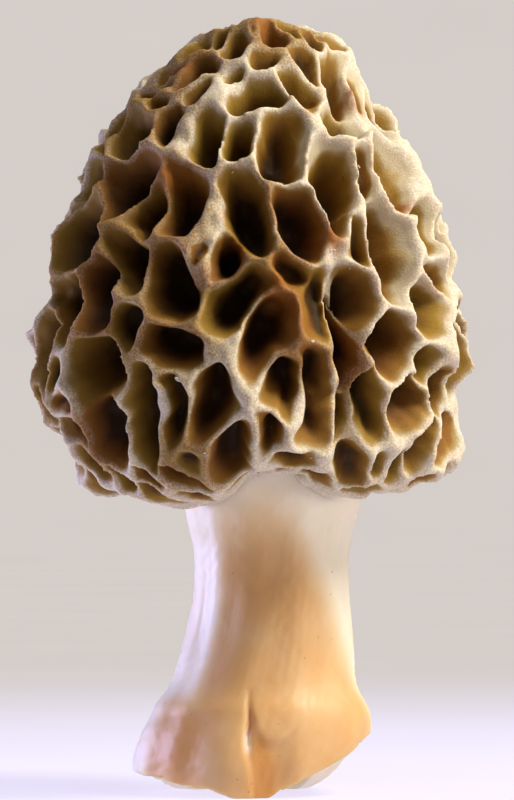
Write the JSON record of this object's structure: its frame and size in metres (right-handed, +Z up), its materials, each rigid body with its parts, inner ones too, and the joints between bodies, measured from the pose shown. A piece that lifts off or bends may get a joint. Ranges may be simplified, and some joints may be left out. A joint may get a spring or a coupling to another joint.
{
  "type": "morel mushroom",
  "caption": "Morel mushroom with a deeply pitted conical cap on a smooth pale stem, hollow throughout, cut at the foot and standing upright.",
  "frame": {"origin": "middle of the mushroom's footprint, on the surface that its cut foot stands on", "axes": "+Z up the stem towards the crown, -Y towards the front, where the deep cleft of the cap is just right of the middle"},
  "size_m": [0.0515, 0.0515, 0.09],
  "materials": {
    "cap_flesh": "matte",
    "stem_flesh": "satin"
  },
  "bodies": {
    "root": {"morel": "cap_flesh"}
  },
  "joints": []
}
